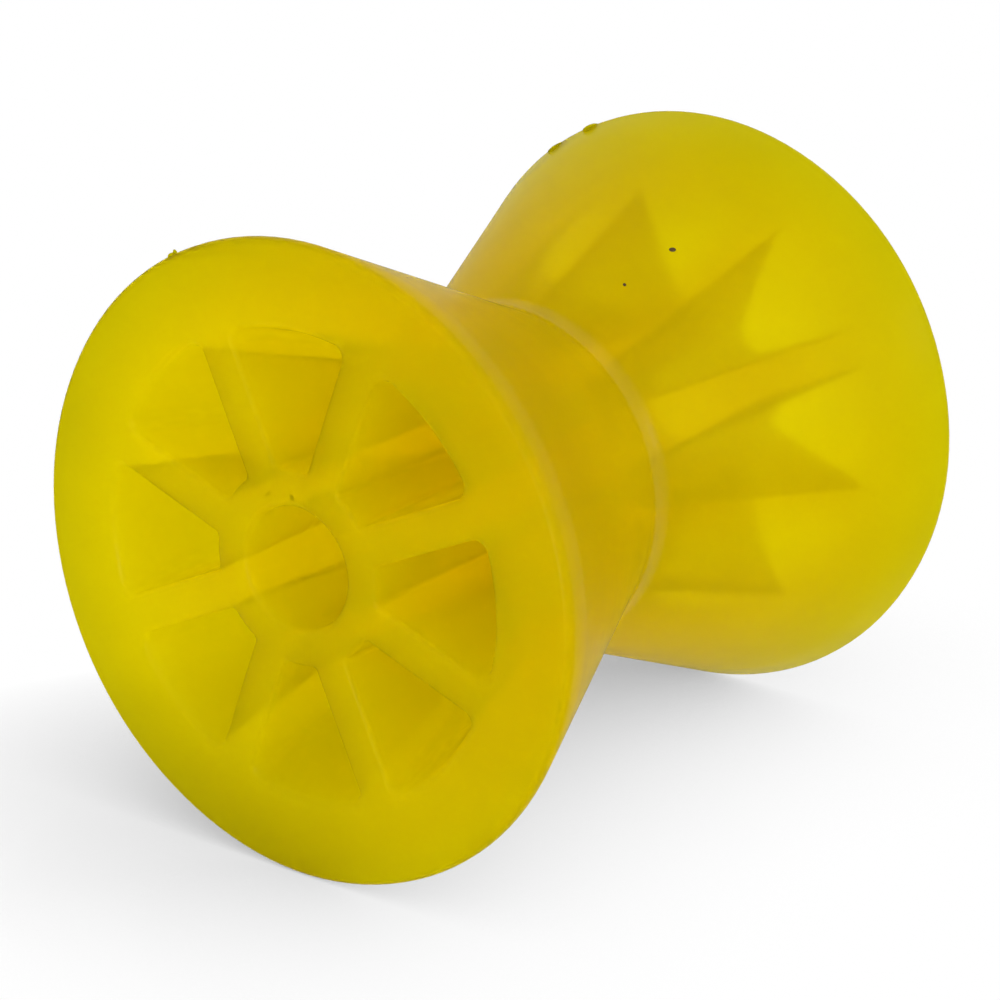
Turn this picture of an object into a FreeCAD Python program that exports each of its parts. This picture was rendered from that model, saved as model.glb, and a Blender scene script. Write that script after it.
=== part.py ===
"""Boat trailer bow roller: one moulded V-shaped roller with ribbed, recessed ends.

Millimetres. +Z runs along the shaft bore. The roller stands on the rim of one end:
the origin is the centre of that end's face, on the bore's axis, and the other face is
at z = length. The two ends are alike, and each rib of one end lies in line with a rib
of the other. Small rounded edges are made of a few short cones or flats, which keeps the
mesh light.
"""
import FreeCAD, Part
import math
import os

# Outside: two cones that meet in a V, with a short land at each rim
length = 76.2
flange_diameter = 70.6
rim_edge_radius = 0.7
rim_land_width = 1.3
waist_diameter = 40.2
waist_fillet_radius = 5.0

# Shaft bore and the hub round it
bore_diameter = 13.5
bore_edge_radius = 0.8
hub_diameter = 21.6
hub_draft_deg = 1.5

# Ring of pockets between hub and flange wall, seen from either end
rib_count = 8
rib_phase_deg = -20.65
rib_thickness = 4.3
rib_draft_deg = 2.0
pocket_wall_diameter = 52.0
pocket_wall_taper_deg = 16.0
pocket_lip_radius = 0.8
pocket_edge_radius = 0.4
pocket_rim_corner_radius = 1.6
pocket_hub_corner_radius = 0.8
pocket_floor_radius = 0.6
web_thickness = 5.0

# How the small edges are divided: a turned edge into equal cones, the pocket's mouth and
# floor by height, as parts of their radius, and a corner by the way that its flats face,
# in degrees from the rib's direction
turned_edge_cones = 3
mouth_steps = (0.0, 0.3, 1.0)
floor_steps = (1.0, 0.0)
rim_corner_flats = (-65.0, -40.0, -15.0)
hub_corner_flats = (-115.0, -140.0)
rim_overrun = 7.0
hub_overrun = 3.0

origin = FreeCAD.Vector(0.0, 0.0, 0.0)
axis = FreeCAD.Vector(0.0, 0.0, 1.0)


def tan_deg(angle):
    return math.tan(math.radians(angle))


def section_point(radius, z):
    """A point of the half section, which lies in the X-Z plane."""
    return FreeCAD.Vector(radius, 0.0, z)


def turned_edge(radius, z, edge_radius, from_deg):
    """Section points a quarter turn round an edge's centre, from one angle on."""
    points = []
    for index in range(turned_edge_cones + 1):
        turn = math.radians(from_deg + 90.0 * index / turned_edge_cones)
        points.append(section_point(radius + edge_radius * math.cos(turn),
                                    z + edge_radius * math.sin(turn)))
    return points


def outside_section():
    """Half section of the roller with its bore, before the pockets."""
    flange_radius = flange_diameter / 2.0
    waist_radius = waist_diameter / 2.0
    middle = length / 2.0

    # The waist's fillet has its lowest point on the waist diameter and touches both cones.
    centre_radius = waist_radius + waist_fillet_radius
    run = middle - rim_land_width
    rise = flange_radius - centre_radius
    slope = math.atan2(rise, run) + math.asin(waist_fillet_radius / math.hypot(rise, run))
    touch_radius = centre_radius - waist_fillet_radius * math.cos(slope)
    touch_offset = waist_fillet_radius * math.sin(slope)

    lower = turned_edge(bore_diameter / 2.0 + bore_edge_radius, bore_edge_radius,
                        bore_edge_radius, 180.0)
    lower += turned_edge(flange_radius - rim_edge_radius, rim_edge_radius,
                         rim_edge_radius, -90.0)
    lower += [section_point(flange_radius, rim_land_width),
              section_point(touch_radius, middle - touch_offset)]
    upper = [section_point(point.x, length - point.z) for point in reversed(lower)]
    waist = Part.Arc(lower[-1], section_point(waist_radius, middle), upper[0]).toShape()
    return Part.Wire([Part.makePolygon(lower), waist, Part.makePolygon(upper + lower[:1])])


def pocket_depth():
    return (length - web_thickness) / 2.0


def rounding(distance, radius):
    """How far an edge of that radius stands back from its wall at a distance from the end."""
    if distance >= radius:
        return 0.0
    return radius - math.sqrt(radius * radius - (radius - distance) * (radius - distance))


def pocket_heights():
    heights = [step * pocket_lip_radius for step in mouth_steps]
    heights += [pocket_depth() - step * pocket_floor_radius for step in floor_steps]
    return heights


def pocket_size(z):
    """Hub radius, half a rib's thickness and wall radius of the lower pockets at height z."""
    edge = rounding(z, pocket_edge_radius)
    lip = rounding(z, pocket_lip_radius)
    floor = rounding(pocket_depth() - z, pocket_floor_radius)
    hub_radius = hub_diameter / 2.0 + z * tan_deg(hub_draft_deg) - edge + floor
    half_rib = rib_thickness / 2.0 + z * tan_deg(rib_draft_deg) - edge + floor
    wall_radius = pocket_wall_diameter / 2.0 - z * tan_deg(pocket_wall_taper_deg) + lip - floor
    return hub_radius, half_rib, wall_radius


def pocket_ring():
    """The recess round the hub of the lower end, as a solid, as if there were no ribs."""
    heights = pocket_heights()
    hub_side = [section_point(pocket_size(z)[0], z) for z in heights]
    wall_side = [section_point(pocket_size(z)[2], z) for z in reversed(heights)]
    section = Part.makePolygon(hub_side + wall_side + hub_side[:1])
    return Part.Face(section).revolve(origin, axis, 360.0)


def corner_points(centre_x, half_rib, radius, flats, overrun):
    """Where a corner's flats meet, from the rib's side to a point past the last flat's end.

    Each flat touches the corner's arc. The overrun is negative at the hub.
    """
    facing = [-90.0] + list(flats)
    points = []
    for first, second in zip(facing, facing[1:]):
        middle = math.radians((first + second) / 2.0)
        reach = radius / math.cos(math.radians((second - first) / 2.0))
        points.append((centre_x + reach * math.cos(middle),
                       half_rib + radius + reach * math.sin(middle)))
    last = math.radians(facing[-1])
    x, y = points[-1]
    points.append((x - overrun * math.sin(last), y + overrun * math.cos(last)))
    return points


def rib_outline(z):
    """Outline at height z of the rib at angle 0 with the rounded corners that it carries."""
    hub_radius, half_rib, wall_radius = pocket_size(z)
    floor = rounding(pocket_depth() - z, pocket_floor_radius)
    hub_corner = pocket_hub_corner_radius - floor
    rim_corner = pocket_rim_corner_radius - floor
    hub_x = math.sqrt((hub_radius + hub_corner) ** 2 - (half_rib + hub_corner) ** 2)
    rim_x = math.sqrt((wall_radius - rim_corner) ** 2 - (half_rib + rim_corner) ** 2)
    side = corner_points(hub_x, half_rib, hub_corner, hub_corner_flats, -hub_overrun)[::-1]
    side += corner_points(rim_x, half_rib, rim_corner, rim_corner_flats, rim_overrun)
    other_side = [(x, -y) for x, y in reversed(side)]
    return [FreeCAD.Vector(x, y, z) for x, y in side + other_side]


def drafted_solid(outlines):
    """Solid through outlines whose like edges are parallel, so that all its faces are flat."""
    loops = [outline + outline[:1] for outline in outlines]
    faces = [Part.Face(Part.makePolygon(loops[0])), Part.Face(Part.makePolygon(loops[-1]))]
    for low, high in zip(loops, loops[1:]):
        for index in range(len(low) - 1):
            corners = [low[index], low[index + 1], high[index + 1], high[index], low[index]]
            faces.append(Part.Face(Part.makePolygon(corners)))
    shell = Part.makeShell(faces)
    shell.sewShape()
    solid = Part.makeSolid(shell)
    if solid.Volume < 0.0:
        solid.reverse()
    return solid


def pocket_cores():
    """The eight tapering pockets of the lower end as solids."""
    rib = drafted_solid([rib_outline(z) for z in pocket_heights()])
    ribs = []
    for index in range(rib_count):
        turned = rib.copy()
        turned.rotate(origin, axis, 360.0 * index / rib_count)
        ribs.append(turned)
    cores = pocket_ring().cut(Part.makeCompound(ribs))
    cores.rotate(origin, axis, rib_phase_deg)
    return cores


def build_roller():
    blank = Part.Face(outside_section()).revolve(origin, axis, 360.0)
    lower = pocket_cores()
    upper = lower.mirror(FreeCAD.Vector(0.0, 0.0, length / 2.0), axis)
    return blank.cut(lower).cut(upper)


def main():
    os.makedirs("parts", exist_ok=True)
    roller = build_roller().Solids[0]
    print("roller valid", roller.isValid(), "volume in mm3", round(roller.Volume, 1))
    roller.exportStep("parts/roller.step")


main()
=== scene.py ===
# %% [markdown]
# # A boat trailer bow roller in translucent amber
# The object is one moulded roller: two conical flanges that meet at a waist, with ribbed
# pockets in both ends. Its shape comes from the CAD frame. This lesson gives it the small
# unevenness of a moulding, its cloudy amber finish, and the light and camera of the photograph.

# %% Load the frame
import math

import bmesh
import bpy
import numpy as np
from mathutils import Matrix, Vector


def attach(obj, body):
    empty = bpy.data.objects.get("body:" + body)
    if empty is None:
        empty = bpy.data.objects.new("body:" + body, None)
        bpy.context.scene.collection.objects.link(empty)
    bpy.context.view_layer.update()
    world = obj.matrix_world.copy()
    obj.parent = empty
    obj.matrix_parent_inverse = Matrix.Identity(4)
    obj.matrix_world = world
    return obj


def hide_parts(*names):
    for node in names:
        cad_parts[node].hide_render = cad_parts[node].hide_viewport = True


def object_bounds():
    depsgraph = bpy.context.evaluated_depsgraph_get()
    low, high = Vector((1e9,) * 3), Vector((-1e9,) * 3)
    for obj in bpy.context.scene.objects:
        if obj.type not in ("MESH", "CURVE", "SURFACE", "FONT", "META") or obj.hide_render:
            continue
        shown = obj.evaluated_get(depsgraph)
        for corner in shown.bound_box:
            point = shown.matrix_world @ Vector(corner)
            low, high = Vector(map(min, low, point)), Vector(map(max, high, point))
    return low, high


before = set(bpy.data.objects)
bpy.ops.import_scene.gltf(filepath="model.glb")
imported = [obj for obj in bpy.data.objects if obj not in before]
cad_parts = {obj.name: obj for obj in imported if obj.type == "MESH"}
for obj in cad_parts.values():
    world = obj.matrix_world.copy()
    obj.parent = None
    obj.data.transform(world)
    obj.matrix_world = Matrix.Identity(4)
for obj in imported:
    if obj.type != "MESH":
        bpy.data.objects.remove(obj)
cad_low, cad_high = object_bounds()
length = cad_high.z - cad_low.z
flange_radius = (cad_high.x - cad_low.x) / 2
print("length", round(length, 5), "flange radius", round(flange_radius, 5))

# %% [markdown]
# ## The moulded skin
# The roller is cast in one piece, so it is one object here. Its CAD node could keep its own
# mesh, but that is a set of loose triangles, and each would be shaded flat. A copy is made,
# its doubled vertices are merged, and it is shaded smooth wherever two faces turn by less
# than a set angle. The crisp edges of the pockets stay crisp that way.

# %% Copy and merge the node
MERGE_DISTANCE = 1e-6
SMOOTH_ANGLE = math.radians(32)


def merged_copy(node, name):
    """A new object with the node's mesh, its doubled vertices merged."""
    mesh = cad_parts[node].data.copy()
    mesh.name = name
    work = bmesh.new()
    work.from_mesh(mesh)
    bmesh.ops.remove_doubles(work, verts=work.verts, dist=MERGE_DISTANCE)
    work.to_mesh(mesh)
    work.free()
    mesh.materials.clear()
    piece = bpy.data.objects.new(name, mesh)
    bpy.context.scene.collection.objects.link(piece)
    mesh.shade_smooth()
    mesh.set_sharp_from_angle(angle=SMOOTH_ANGLE)
    return piece


skin = merged_copy("roller", "roller_skin")
print("skin has", len(skin.data.vertices), "vertices and", len(skin.data.polygons), "faces")

# %% [markdown]
# ## Shrinkage of a thick moulding
# A thick elastomer shrinks unevenly as it cools, so its rims are never quite true circles.
# A modifier with a noise texture could do this. A few long waves round the axis are easier
# to keep small and inward, and since they don't change along the bore, the cones stay
# straight, the end faces stay flat and the piece stays inside its size.

# %% Shrink the skin in waves
SHRINK = 0.00012
WAVES = ((3, 0.7), (5, 2.1), (8, 4.0))


def shrink_in_waves(piece):
    """Moves each vertex toward the axis: by SHRINK times the mean of raised cosines of
    count * angle + phase, so between nothing and SHRINK, scaled with the radius."""
    mesh = piece.data
    flat = np.empty(len(mesh.vertices) * 3)
    mesh.vertices.foreach_get("co", flat)
    points = flat.reshape(-1, 3)
    angle = np.arctan2(points[:, 1], points[:, 0])
    wave = np.zeros(len(points))
    for count, phase in WAVES:
        wave += 0.5 + 0.5 * np.cos(count * angle + phase)
    inward = SHRINK * wave / len(WAVES) / flange_radius
    points[:, :2] *= (1.0 - inward)[:, None]
    mesh.vertices.foreach_set("co", points.ravel())
    mesh.update()
    return inward.max() * flange_radius


print("largest shrinkage in mm", round(shrink_in_waves(skin) * 1000, 3))
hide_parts("roller")
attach(skin, "root")

# %% [markdown]
# ## Nibs of flash and grains of dirt
# Both rims carry small torn nibs of flash at their top, and a few dark grains were caught at
# the surface. They could be painted by a noise texture, but then they would lie flat and in
# places of its own choosing. They are far smaller than the skin's triangles, so each is an
# ellipsoid of its own, set where it is seen, and all of one kind are a single mesh.

# %% A mesh of small ellipsoids
ROUND_STEPS = 12
TALL_STEPS = 7


def ellipsoid(centre, outward, sizes):
    """Points centre + a cos(v) cos(u) side + b cos(v) sin(u) other + c sin(v) outward, for u
    all round and v from pole to pole, with sizes a, b and c."""
    outward = Vector(outward).normalized()
    side = outward.orthogonal().normalized()
    other = outward.cross(side)
    u = np.linspace(0.0, 2.0 * np.pi, ROUND_STEPS, endpoint=False)
    v = np.linspace(-np.pi / 2.0, np.pi / 2.0, TALL_STEPS)[1:-1]
    v, u = np.meshgrid(v, u, indexing="ij")
    ring = (np.outer(sizes[0] * np.cos(v) * np.cos(u), side)
            + np.outer(sizes[1] * np.cos(v) * np.sin(u), other)
            + np.outer(sizes[2] * np.sin(v), outward))
    poles = sizes[2] * np.outer([-1.0, 1.0], outward)
    return np.vstack([poles[:1], ring, poles[1:]]) + np.array(centre)


def ellipsoid_faces():
    """Triangles at the two poles and quads between neighbouring rings, as point numbers of
    one ellipsoid."""
    now = np.arange(ROUND_STEPS)
    after = (now + 1) % ROUND_STEPS
    low = 1 + ROUND_STEPS * np.arange(TALL_STEPS - 3)[:, None]
    high = low + ROUND_STEPS
    quads = np.stack([low + now, low + after, high + after, high + now], axis=-1)
    last = 1 + ROUND_STEPS * (TALL_STEPS - 3)
    bottom = np.stack([0 * now, 1 + after, 1 + now], axis=-1)
    top = np.stack([last + now, last + after, 0 * now + last + ROUND_STEPS], axis=-1)
    return np.vstack([bottom, top]), quads.reshape(-1, 4)


def ellipsoid_piece(name, rows):
    """One object from rows of (centre in mm, outward direction, sizes in mm)."""
    points = np.stack([ellipsoid(*row) for row in rows]) / 1000.0
    starts = points.shape[1] * np.arange(len(rows))[:, None, None]
    caps, quads = ellipsoid_faces()
    faces = (caps + starts).reshape(-1, 3).tolist() + (quads + starts).reshape(-1, 4).tolist()
    mesh = bpy.data.meshes.new(name)
    mesh.from_pydata(points.reshape(-1, 3).tolist(), [], faces)
    mesh.shade_smooth()
    piece = bpy.data.objects.new(name, mesh)
    bpy.context.scene.collection.objects.link(piece)
    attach(piece, "root")
    print(name, "has", len(rows), "pieces and", len(mesh.polygons), "faces")
    return piece


# %% Nibs of flash on both rims
NIBS = (((15.95, -31.4, 75.6), (0.45, -0.89, 0.0), (0.25, 0.3, 0.5)),
        ((16.6, -31.05, 75.5), (0.5, -0.86, 0.0), (0.45, 0.3, 0.35)),
        ((13.3, -32.35, 75.6), (0.38, -0.92, 0.0), (0.5, 0.45, 0.22)),
        ((15.5, -31.5, 1.2), (0.44, -0.9, 0.0), (1.1, 1.0, 0.45)),
        ((20.3, -28.5, 1.4), (0.58, -0.81, 0.0), (1.4, 0.9, 0.4)))
nibs = ellipsoid_piece("flash_nibs", NIBS)

# %% Dark grains at the surface
GRAINS = (((-10.24, -24.58, 21.51), (-0.37, -0.84, 0.39), (0.42, 0.34, 0.1)),
          ((-8.76, -21.84, 28.82), (-0.37, -0.84, 0.39), (0.2, 0.26, 0.08)),
          ((0.3, -7.9, 76.1), (0.0, 0.0, 1.0), (0.24, 0.34, 0.08)),
          ((3.6, -7.6, 76.1), (0.0, 0.0, 1.0), (0.5, 0.12, 0.06)),
          ((-21.55, -11.18, 76.1), (0.0, 0.0, 1.0), (0.15, 0.15, 0.06)),
          ((-22.09, 7.86, 76.1), (0.0, 0.0, 1.0), (0.2, 0.17, 0.07)),
          ((-16.03, 6.8, 76.1), (0.0, 0.0, 1.0), (0.18, 0.14, 0.07)),
          ((-20.97, -18.52, 76.1), (0.0, 0.0, 1.0), (0.12, 0.16, 0.06)),
          ((-7.8, -30.7, 66.7), (-0.24, -0.89, -0.39), (0.2, 0.15, 0.08)),
          ((8.0, 27.6, 60.0), (0.26, 0.89, -0.39), (0.25, 0.2, 0.08)),
          ((22.0, -3.0, 0.1), (0.0, 0.0, -1.0), (0.22, 0.18, 0.07)))
grains = ellipsoid_piece("dark_grains", GRAINS)

# %% [markdown]
# ## The amber finish
# The real roller is a cloudy amber elastomer. Light goes through it, but is scattered on the
# way, so the ribs show through the flanges as soft bands. A glass would show them sharp, and
# a plain plastic wouldn't show them at all. This finish takes both: a rough transmission with
# subsurface light at the skin, and a volume that scatters light and takes out the blue. The
# index of refraction is far below a real elastomer's, which is about 1.5, so that light is
# bent and mirrored less inside. The tone is deeper at the thin rims than at the thick heart:
# the heart has the amber's own tone, and the deeper tone at the rims is painted shade that
# damps the light shining through them, which evens out the colour. Slow clouds of noise vary
# the tone a little. These values were chosen together by how the whole looks, and none of
# them was measured on the material.

# %% Tone from heart to rim, with painted shade toward the rim
# The rim tone is darker than the heart tone: painted shade that damps the light shining through
# the thin rims.
HEART_TONE = (0.815, 0.735, 0.0, 1.0)
SHADED_RIM_TONE = (0.64, 0.545, 0.0, 1.0)
HEART_RADIUS = 0.018
RIM_RADIUS = 0.035


def radius_from_axis(tree):
    """Distance of a point from the bore's axis, in metres."""
    place = tree.nodes.new("ShaderNodeTexCoord")
    flat = tree.nodes.new("ShaderNodeVectorMath")
    flat.operation = "MULTIPLY"
    flat.inputs[1].default_value = (1.0, 1.0, 0.0)
    radius = tree.nodes.new("ShaderNodeVectorMath")
    radius.operation = "LENGTH"
    tree.links.new(place.outputs["Object"], flat.inputs[0])
    tree.links.new(flat.outputs["Vector"], radius.inputs[0])
    return radius.outputs["Value"]


def radial_tone_and_rim_shade(tree):
    """Amber's own tone at the bore's axis, darkened toward the rim by painted shade."""
    share = tree.nodes.new("ShaderNodeMapRange")
    share.interpolation_type = "SMOOTHSTEP"
    share.inputs["From Min"].default_value = HEART_RADIUS
    share.inputs["From Max"].default_value = RIM_RADIUS
    tone = tree.nodes.new("ShaderNodeMix")
    tone.data_type = "RGBA"
    tone.inputs["A"].default_value = HEART_TONE
    tone.inputs["B"].default_value = SHADED_RIM_TONE
    tree.links.new(radius_from_axis(tree), share.inputs["Value"])
    tree.links.new(share.outputs["Result"], tone.inputs["Factor"])
    return tone.outputs["Result"]


# %% Clouds in the tone
CLOUD_SCALE = 70.0
MOTTLE = 0.04
NOISE_DETAIL = 2.0
NOISE_LOW = 0.3
NOISE_HIGH = 0.7


def mottled(tree, tone):
    """The tone made lighter and darker in soft clouds, where the amber flowed and set."""
    place = tree.nodes.new("ShaderNodeTexCoord")
    clouds = tree.nodes.new("ShaderNodeTexNoise")
    clouds.inputs["Scale"].default_value = CLOUD_SCALE
    clouds.inputs["Detail"].default_value = NOISE_DETAIL
    change = tree.nodes.new("ShaderNodeMapRange")
    change.inputs["From Min"].default_value = NOISE_LOW
    change.inputs["From Max"].default_value = NOISE_HIGH
    change.inputs["To Min"].default_value = 1.0 - MOTTLE
    change.inputs["To Max"].default_value = 1.0 + MOTTLE
    changed = tree.nodes.new("ShaderNodeVectorMath")
    changed.operation = "SCALE"
    tree.links.new(place.outputs["Object"], clouds.inputs["Vector"])
    tree.links.new(clouds.outputs["Fac"], change.inputs["Value"])
    tree.links.new(tone, changed.inputs["Vector"])
    tree.links.new(change.outputs["Result"], changed.inputs["Scale"])
    return changed.outputs["Vector"]


# %% Unevenness of the skin
WAVE_SCALE = 260.0
WAVE_HEIGHT = 0.00005


def moulded_unevenness(tree):
    """Normal of a skin that is slightly wavy, as the mould left it."""
    place = tree.nodes.new("ShaderNodeTexCoord")
    waves = tree.nodes.new("ShaderNodeTexNoise")
    waves.inputs["Scale"].default_value = WAVE_SCALE
    waves.inputs["Detail"].default_value = NOISE_DETAIL
    bump = tree.nodes.new("ShaderNodeBump")
    bump.inputs["Distance"].default_value = WAVE_HEIGHT
    tree.links.new(place.outputs["Object"], waves.inputs["Vector"])
    tree.links.new(waves.outputs["Fac"], bump.inputs["Height"])
    return bump.outputs["Normal"]


# %% [markdown]
# ## Sheen and the polished waist
# Seen along the surface, the elastomer has a whitish sheen, and a thin light line runs round
# the waist, which is taken for the mould's parting line. A line of its own geometry would draw
# a hard dark edge in the clear body, so this is a coat whose weight rises at grazing angles and
# in a narrow band at the waist.

# %% Bands of gloss
SHEEN_EDGE = 0.15
SHEEN_WEIGHT = 0.3
GLOSS_WEIGHT = 0.02
WAIST_GLOSS = 0.2
PARTING_Z = 0.0376
LINE_CORE = 0.0006
LINE_REACH = 0.0016


def band(tree, value, start, end):
    """Mask that rises from nothing at one value to one at another, smoothly."""
    mask = tree.nodes.new("ShaderNodeMapRange")
    mask.interpolation_type = "SMOOTHSTEP"
    mask.inputs["From Min"].default_value = start
    mask.inputs["From Max"].default_value = end
    tree.links.new(value, mask.inputs["Value"])
    return mask.outputs["Result"]


def polished_band(tree):
    """Weight of the gloss: most within LINE_CORE of PARTING_Z, and least past LINE_REACH."""
    place = tree.nodes.new("ShaderNodeTexCoord")
    parts = tree.nodes.new("ShaderNodeSeparateXYZ")
    from_waist = tree.nodes.new("ShaderNodeMath")
    from_waist.operation = "SUBTRACT"
    from_waist.inputs[1].default_value = PARTING_Z
    away = tree.nodes.new("ShaderNodeMath")
    away.operation = "ABSOLUTE"
    tree.links.new(place.outputs["Object"], parts.inputs["Vector"])
    tree.links.new(parts.outputs["Z"], from_waist.inputs[0])
    tree.links.new(from_waist.outputs["Value"], away.inputs[0])
    at_waist = band(tree, away.outputs["Value"], LINE_REACH, LINE_CORE)
    weight = tree.nodes.new("ShaderNodeMapRange")
    weight.inputs["To Min"].default_value = GLOSS_WEIGHT
    weight.inputs["To Max"].default_value = WAIST_GLOSS
    tree.links.new(at_waist, weight.inputs["Value"])
    return weight.outputs["Result"]


def sheen_and_polish(tree):
    """Coat weight: the larger of the sheen at grazing angles and the polished band."""
    facing = tree.nodes.new("ShaderNodeLayerWeight")
    facing.inputs["Blend"].default_value = SHEEN_EDGE
    sheen = tree.nodes.new("ShaderNodeMapRange")
    sheen.inputs["To Max"].default_value = SHEEN_WEIGHT
    gloss = tree.nodes.new("ShaderNodeMath")
    gloss.operation = "MAXIMUM"
    tree.links.new(facing.outputs["Facing"], sheen.inputs["Value"])
    tree.links.new(sheen.outputs["Result"], gloss.inputs[0])
    tree.links.new(polished_band(tree), gloss.inputs[1])
    return gloss.outputs["Value"]


# %% The cloudy amber
CLEAR_SHARE = 0.78
TAKEN_COLOUR = (1.0, 0.975, 0.0, 1.0)
TAKEN_DENSITY = 400.0
CLOUD_COLOUR = (1.0, 1.0, 0.02, 1.0)
CLOUD_DENSITY = 28.0
BODY_ROUGHNESS = 0.5
BODY_IOR = 1.04
SHEEN_ROUGHNESS = 0.2
SOAK_WEIGHT = 1.0
SOAK_RADIUS = (1.0, 1.0, 0.1)
SOAK_SCALE = 0.03


def cloudy_volume(tree):
    """Volume that takes out the blue and scatters what is left."""
    taken = tree.nodes.new("ShaderNodeVolumeAbsorption")
    taken.inputs["Color"].default_value = TAKEN_COLOUR
    taken.inputs["Density"].default_value = TAKEN_DENSITY
    cloud = tree.nodes.new("ShaderNodeVolumeScatter")
    cloud.inputs["Color"].default_value = CLOUD_COLOUR
    cloud.inputs["Density"].default_value = CLOUD_DENSITY
    both = tree.nodes.new("ShaderNodeAddShader")
    tree.links.new(taken.outputs["Volume"], both.inputs[0])
    tree.links.new(cloud.outputs["Volume"], both.inputs[1])
    return both.outputs["Shader"]


def amber_material():
    """Cloudy amber: light scatters inside it, and a part passes straight through."""
    material = bpy.data.materials.new("cloudy_amber")
    material.use_nodes = True
    tree = material.node_tree
    principled = tree.nodes["Principled BSDF"]
    tree.links.new(mottled(tree, radial_tone_and_rim_shade(tree)), principled.inputs["Base Color"])
    tree.links.new(moulded_unevenness(tree), principled.inputs["Normal"])
    principled.inputs["Roughness"].default_value = BODY_ROUGHNESS
    principled.inputs["IOR"].default_value = BODY_IOR
    principled.inputs["Coat Roughness"].default_value = SHEEN_ROUGHNESS
    principled.inputs["Subsurface Weight"].default_value = SOAK_WEIGHT
    principled.inputs["Subsurface Radius"].default_value = SOAK_RADIUS
    principled.inputs["Subsurface Scale"].default_value = SOAK_SCALE
    principled.inputs["Transmission Weight"].default_value = CLEAR_SHARE
    tree.links.new(sheen_and_polish(tree), principled.inputs["Coat Weight"])
    tree.links.new(cloudy_volume(tree), tree.nodes["Material Output"].inputs["Volume"])
    return material


amber = amber_material()
skin.data.materials.append(amber)
nibs.data.materials.append(amber)
print(amber.name, "has", len(amber.node_tree.nodes), "nodes")

# %% [markdown]
# ## The dirt's finish
# The grains are dull specks of dust or burnt material. One brown would do for such small
# things in the photograph, but not close by, so two browns are mixed by a fine noise at the
# scale of a grain.

# %% Brown grain
GRAIN_DARK = (0.035, 0.02, 0.005, 1.0)
GRAIN_LIGHT = (0.09, 0.05, 0.01, 1.0)
GRAIN_SCALE = 4000.0
GRAIN_ROUGHNESS = 0.8


def grain_material():
    """Dull brown dirt, mottled at the scale of the grain."""
    material = bpy.data.materials.new("brown_grain")
    material.use_nodes = True
    tree = material.node_tree
    principled = tree.nodes["Principled BSDF"]
    place = tree.nodes.new("ShaderNodeTexCoord")
    mottle = tree.nodes.new("ShaderNodeTexNoise")
    mottle.inputs["Scale"].default_value = GRAIN_SCALE
    tone = tree.nodes.new("ShaderNodeMix")
    tone.data_type = "RGBA"
    tone.inputs["A"].default_value = GRAIN_DARK
    tone.inputs["B"].default_value = GRAIN_LIGHT
    tree.links.new(place.outputs["Object"], mottle.inputs["Vector"])
    tree.links.new(mottle.outputs["Fac"], tone.inputs["Factor"])
    tree.links.new(tone.outputs["Result"], principled.inputs["Base Color"])
    principled.inputs["Roughness"].default_value = GRAIN_ROUGHNESS
    return material


grains.data.materials.append(grain_material())

# %% [markdown]
# ## The floor and its soft shadow
# The photograph was taken with the roller lying on its side, so the photographed floor is
# the plane that touches both rims on the +Y side. A plain pale floor would turn yellow near
# the roller and grey further off. This one is white where it is seen in a straight line,
# mirrored or through the amber, made greyer by a soft shadow that comes from how much of the
# sky over it the roller hides. All other rays see pale lit paper. It shows from its upper side
# only, so that views from below aren't blocked.

# %% Floor
FLOOR_HALF = 1.5
FLOOR_TONE = 0.95
FLOOR_ROUGHNESS = 0.9
SHADOW_REACH = 0.042
SHADOW_SAMPLES = 2
SHADOW_TONE = 0.12
FULL_WHITE_FROM = 0.8
TOWARD_LIGHT = (-0.82, -0.57, 0.0)


def seen_straight(tree):
    """1 for rays on which the background itself is seen: straight, mirrored or through."""
    path = tree.nodes.new("ShaderNodeLightPath")
    first = tree.nodes.new("ShaderNodeMath")
    first.operation = "MAXIMUM"
    both = tree.nodes.new("ShaderNodeMath")
    both.operation = "MAXIMUM"
    tree.links.new(path.outputs["Is Camera Ray"], first.inputs[0])
    tree.links.new(path.outputs["Is Glossy Ray"], first.inputs[1])
    tree.links.new(first.outputs["Value"], both.inputs[0])
    tree.links.new(path.outputs["Is Transmission Ray"], both.inputs[1])
    return both.outputs["Value"]


def soft_shadow(tree):
    """SHADOW_TONE where the roller hides the sky toward the light, and 1 in the open."""
    toward = tree.nodes.new("ShaderNodeCombineXYZ")
    for socket, value in zip(toward.inputs, TOWARD_LIGHT):
        socket.default_value = value
    opening = tree.nodes.new("ShaderNodeAmbientOcclusion")
    opening.samples = SHADOW_SAMPLES
    opening.inputs["Distance"].default_value = SHADOW_REACH
    tone = tree.nodes.new("ShaderNodeMapRange")
    tone.inputs["From Max"].default_value = FULL_WHITE_FROM
    tone.inputs["To Min"].default_value = SHADOW_TONE
    tree.links.new(toward.outputs["Vector"], opening.inputs["Normal"])
    tree.links.new(opening.outputs["AO"], tone.inputs["Value"])
    return tone.outputs["Result"]


def from_above_only(tree, shader):
    """The shader on the front of a face, and nothing on its back."""
    side = tree.nodes.new("ShaderNodeNewGeometry")
    clear = tree.nodes.new("ShaderNodeBsdfTransparent")
    mix = tree.nodes.new("ShaderNodeMixShader")
    tree.links.new(side.outputs["Backfacing"], mix.inputs[0])
    tree.links.new(shader, mix.inputs[1])
    tree.links.new(clear.outputs["BSDF"], mix.inputs[2])
    return mix.outputs["Shader"]


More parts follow.
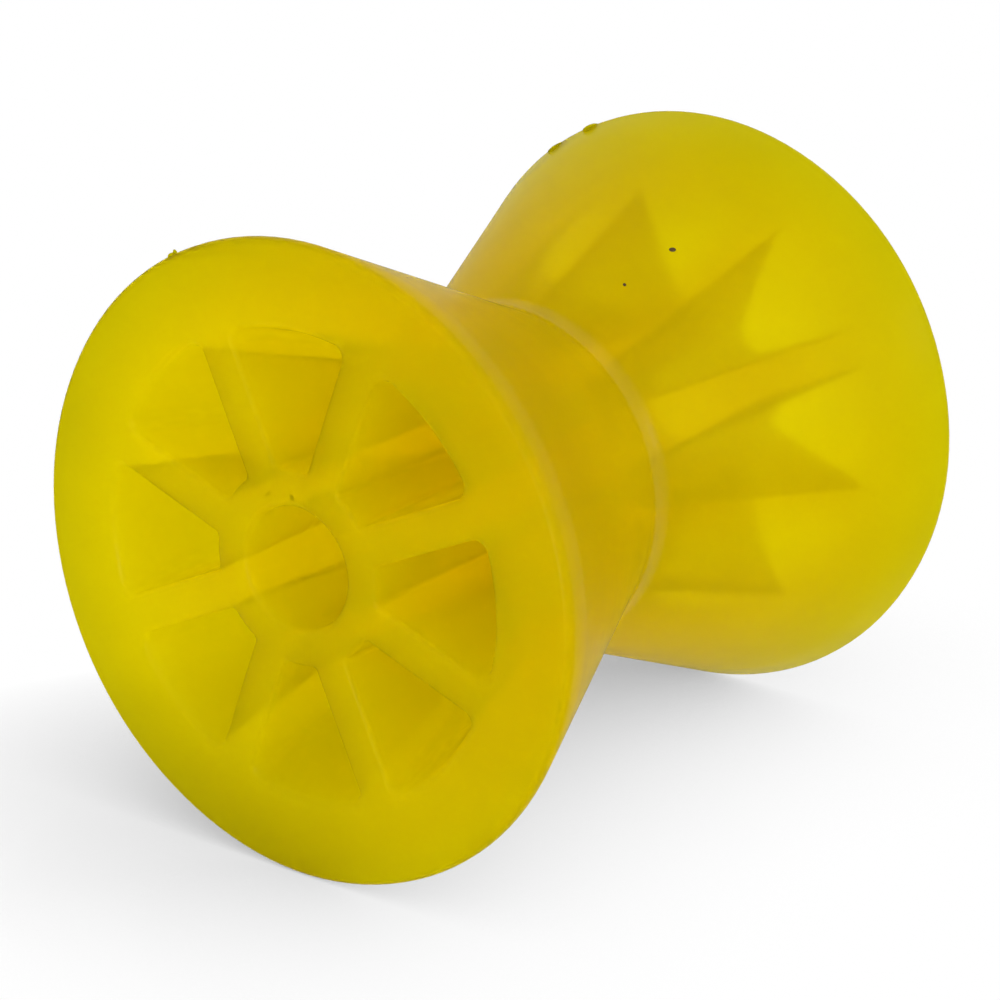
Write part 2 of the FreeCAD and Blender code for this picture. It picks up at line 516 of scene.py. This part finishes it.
def floor_material():
    """Matt paper seen from above only: white where it is seen, greyer near the roller."""
    material = bpy.data.materials.new("pale_floor")
    material.use_nodes = True
    tree = material.node_tree
    paper = tree.nodes["Principled BSDF"]
    paper.inputs["Base Color"].default_value = (FLOOR_TONE, FLOOR_TONE, FLOOR_TONE, 1.0)
    paper.inputs["Roughness"].default_value = FLOOR_ROUGHNESS
    paper.inputs["Specular IOR Level"].default_value = 0.0
    white = tree.nodes.new("ShaderNodeEmission")
    seen = tree.nodes.new("ShaderNodeMixShader")
    tree.links.new(soft_shadow(tree), white.inputs["Strength"])
    tree.links.new(seen_straight(tree), seen.inputs[0])
    tree.links.new(paper.outputs["BSDF"], seen.inputs[1])
    tree.links.new(white.outputs["Emission"], seen.inputs[2])
    surface = tree.nodes["Material Output"].inputs["Surface"]
    tree.links.new(from_above_only(tree, seen.outputs["Shader"]), surface)
    return material


def floor_plane():
    """A square that touches both rims on the +Y side and faces -Y."""
    y = flange_radius
    corners = [(-FLOOR_HALF, y, -FLOOR_HALF), (FLOOR_HALF, y, -FLOOR_HALF),
               (FLOOR_HALF, y, FLOOR_HALF), (-FLOOR_HALF, y, FLOOR_HALF)]
    mesh = bpy.data.meshes.new("floor")
    mesh.from_pydata(corners, [], [(0, 1, 2, 3)])
    mesh.materials.append(floor_material())
    floor = bpy.data.objects.new("floor", mesh)
    bpy.context.scene.collection.objects.link(floor)
    return floor


floor = floor_plane()
print("floor normal", tuple(round(v, 2) for v in floor.data.polygons[0].normal))

# %% [markdown]
# ## Light from all round
# The photograph has a white ground, one soft shadow and no hard glint, so its light is taken
# to come from a wide field, stronger on one side. A few large lamps could do this, but each
# could leave a glint in the sheen. The world lights the roller instead, with a strength that
# rises evenly from nothing on one side to 1.6 on the other, and it is plain white where it is
# seen in a straight line, mirrored or through the amber. Three weak lamps add the line at the
# waist and light the front low down.

# %% World
WORLD_LEVEL = 0.8
WORLD_SWING = 0.8
BRIGHT_SIDE = (-0.8, 0.4, 0.45)


def studio_world():
    """Light from all round, stronger from one side; white where the world itself is seen."""
    world = bpy.data.worlds.new("studio")
    bpy.context.scene.world = world
    world.use_nodes = True
    tree = world.node_tree
    background = tree.nodes["Background"]
    background.inputs["Color"].default_value = (1.0, 1.0, 1.0, 1.0)
    direction = tree.nodes.new("ShaderNodeTexCoord")
    toward = tree.nodes.new("ShaderNodeVectorMath")
    toward.operation = "DOT_PRODUCT"
    toward.inputs[1].default_value = BRIGHT_SIDE
    level = tree.nodes.new("ShaderNodeMapRange")
    level.inputs["From Min"].default_value = -1.0
    level.inputs["To Min"].default_value = WORLD_LEVEL - WORLD_SWING
    level.inputs["To Max"].default_value = WORLD_LEVEL + WORLD_SWING
    tree.links.new(direction.outputs["Generated"], toward.inputs[0])
    tree.links.new(toward.outputs["Value"], level.inputs["Value"])
    seen = tree.nodes.new("ShaderNodeMix")
    seen.inputs["B"].default_value = 1.0
    tree.links.new(seen_straight(tree), seen.inputs["Factor"])
    tree.links.new(level.outputs["Result"], seen.inputs["A"])
    tree.links.new(seen.outputs["Result"], background.inputs["Strength"])
    return world


print("world", studio_world().name, "level", WORLD_LEVEL)

# %% Lamps
# Each row holds a name, a place and a size in metres, and a power in watts.
LAMPS = (("front_lamp", (-0.15, 0.02, 0.45), 0.3, 0.7),
         ("right_lamp", (-0.39, -0.15, -0.19), 0.12, 0.1),
         ("low_lamp", (-0.08, 0.028, 0.22), 0.06, 0.16))


def area_lamp(name, place, size, power):
    """A soft square lamp at a place, turned toward the roller's middle."""
    lamp = bpy.data.lights.new(name, "AREA")
    lamp.size = size
    lamp.energy = power
    holder = bpy.data.objects.new(name, lamp)
    bpy.context.scene.collection.objects.link(holder)
    holder.location = place
    holder.rotation_mode = "QUATERNION"
    toward = Vector((0.0, 0.0, length / 2.0)) - Vector(place)
    holder.rotation_quaternion = toward.to_track_quat("-Z", "Y")
    return holder


for name, place, size, power in LAMPS:
    print(area_lamp(name, place, size, power).name, "gives", power, "W")

# %% [markdown]
# ## The camera of the photograph
# The place and the lens were worked out from the outlines of the two rims and the waist in
# the photograph. The camera could be turned by angles, but three axes are plainer: back from
# the target, right, and up, which is away from the floor.

# %% Camera
CAMERA_PLACE = Vector((-0.21073, -0.11941, 0.32229))
CAMERA_AIM = Vector((0.00054, 0.00256, 0.03964))
PHOTO_UP = Vector((0.0, -1.0, 0.0))
LENS_MM = 118.55
SENSOR_MM = 36.0
NEAR_CLIP = 0.01


def photo_camera():
    """The photograph's camera: no roll, with up away from the photographed floor."""
    data = bpy.data.cameras.new("photo_camera")
    data.lens = LENS_MM
    data.sensor_width = SENSOR_MM
    data.clip_start = NEAR_CLIP
    camera = bpy.data.objects.new("photo_camera", data)
    bpy.context.scene.collection.objects.link(camera)
    back = (CAMERA_PLACE - CAMERA_AIM).normalized()
    right = PHOTO_UP.cross(back).normalized()
    up = back.cross(right)
    turn = Matrix((right, up, back)).transposed()
    camera.rotation_mode = "QUATERNION"
    camera.rotation_quaternion = turn.to_quaternion()
    camera.location = CAMERA_PLACE
    bpy.context.scene.camera = camera
    return camera


print("camera", photo_camera().name, "with a lens of", LENS_MM, "mm")
bpy.context.scene.view_settings.view_transform = "Standard"

# %% [markdown]
# ## Bounces for a cloudy body
# Light that crosses a rib, a pocket and a flange meets many surfaces and is scattered in
# between. Blender's own values allow twelve bounces but none inside a volume, so the body
# would scatter light once only. Four are allowed here, and ten in all. In a trial, sixteen
# with eight in the volume were two or three levels of 255 brighter and a tenth slower.

# %% Bounces
cycles = bpy.context.scene.cycles
cycles.max_bounces = 10
cycles.transmission_bounces = 10
cycles.glossy_bounces = 6
cycles.volume_bounces = 4
print("bounces", cycles.max_bounces, "and of them in the volume", cycles.volume_bounces)
